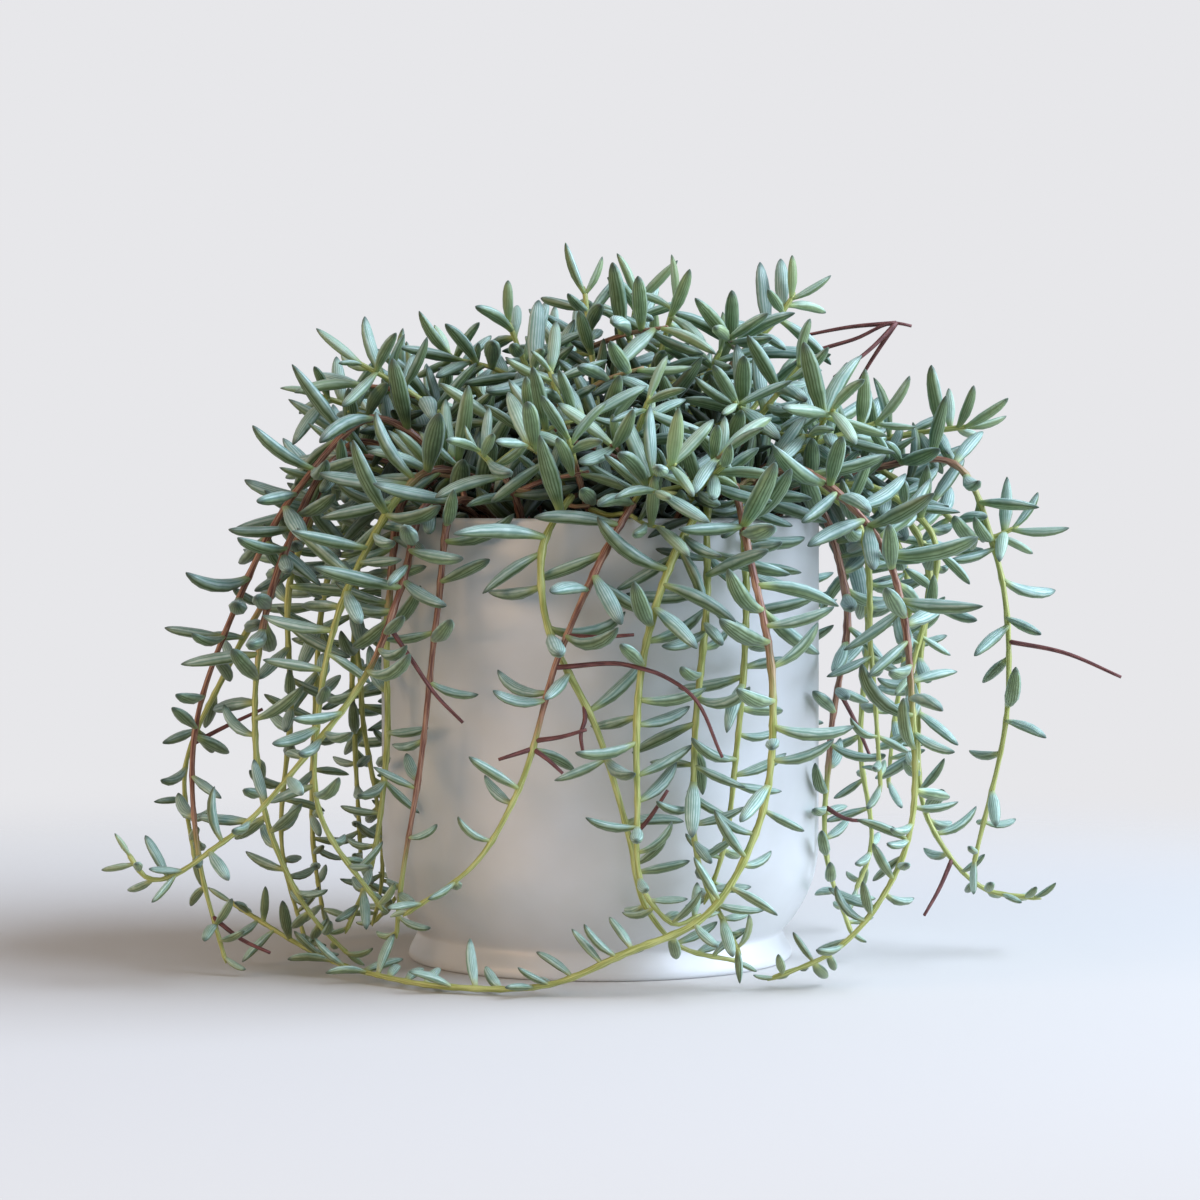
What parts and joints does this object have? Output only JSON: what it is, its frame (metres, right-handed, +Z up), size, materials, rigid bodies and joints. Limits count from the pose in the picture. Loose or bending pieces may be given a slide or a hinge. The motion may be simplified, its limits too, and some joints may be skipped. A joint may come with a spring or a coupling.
{
  "type": "potted trailing succulent",
  "caption": "String of fishhooks in a white ceramic pot: a mound of leafy shoots and hooked-leaf stems that trail over the rim to the ground.",
  "frame": {"origin": "centre of the pot's flat base, on the surface it stands on", "axes": "+Z up along the pot's axis, +Y towards the back of the plant, +X to its right"},
  "size_m": [0.3081, 0.2242, 0.2252],
  "materials": {
    "pot": "satin",
    "soil": "matte",
    "trailing_stem": "satin",
    "crown_shoot": "satin"
  },
  "bodies": {
    "root": {"pot": "pot", "soil": "soil", "stem_front_1": "trailing_stem", "stem_front_2": "trailing_stem", "stem_front_3": "trailing_stem", "stem_front_4": "trailing_stem", "stem_front_5": "trailing_stem", "stem_front_6": "trailing_stem", "stem_front_7": "trailing_stem", "stem_left_1": "trailing_stem", "stem_left_2": "trailing_stem", "stem_left_3": "trailing_stem", "stem_left_4": "trailing_stem", "stem_left_5": "trailing_stem", "stem_left_6": "trailing_stem", "stem_left_7": "trailing_stem", "stem_left_8": "trailing_stem", "stem_right_1": "trailing_stem", "stem_right_2": "trailing_stem", "stem_right_3": "trailing_stem", "stem_right_4": "trailing_stem", "stem_right_5": "trailing_stem", "stem_right_6": "trailing_stem", "stem_right_7": "trailing_stem", "stem_right_8": "trailing_stem", "stem_back_1": "trailing_stem", "stem_back_2": "trailing_stem", "stem_back_3": "trailing_stem", "stem_back_4": "trailing_stem", "stem_back_5": "trailing_stem", "stem_back_6": "trailing_stem", "stem_back_7": "trailing_stem", "stem_back_8": "trailing_stem", "stem_back_9": "trailing_stem", "stem_back_10": "trailing_stem", "stem_back_11": "trailing_stem", "stem_back_12": "trailing_stem", "shoot_01": "crown_shoot", "shoot_02": "crown_shoot", "shoot_03": "crown_shoot", "shoot_04": "crown_shoot", "shoot_05": "crown_shoot", "shoot_06": "crown_shoot", "shoot_07": "crown_shoot", "shoot_08": "crown_shoot", "shoot_09": "crown_shoot", "shoot_10": "crown_shoot", "shoot_11": "crown_shoot", "shoot_12": "crown_shoot", "shoot_13": "crown_shoot", "shoot_14": "crown_shoot", "shoot_15": "crown_shoot", "shoot_16": "crown_shoot", "shoot_17": "crown_shoot", "shoot_18": "crown_shoot", "shoot_19": "crown_shoot", "shoot_20": "crown_shoot", "shoot_21": "crown_shoot", "shoot_22": "crown_shoot", "shoot_23": "crown_shoot"}
  },
  "joints": []
}
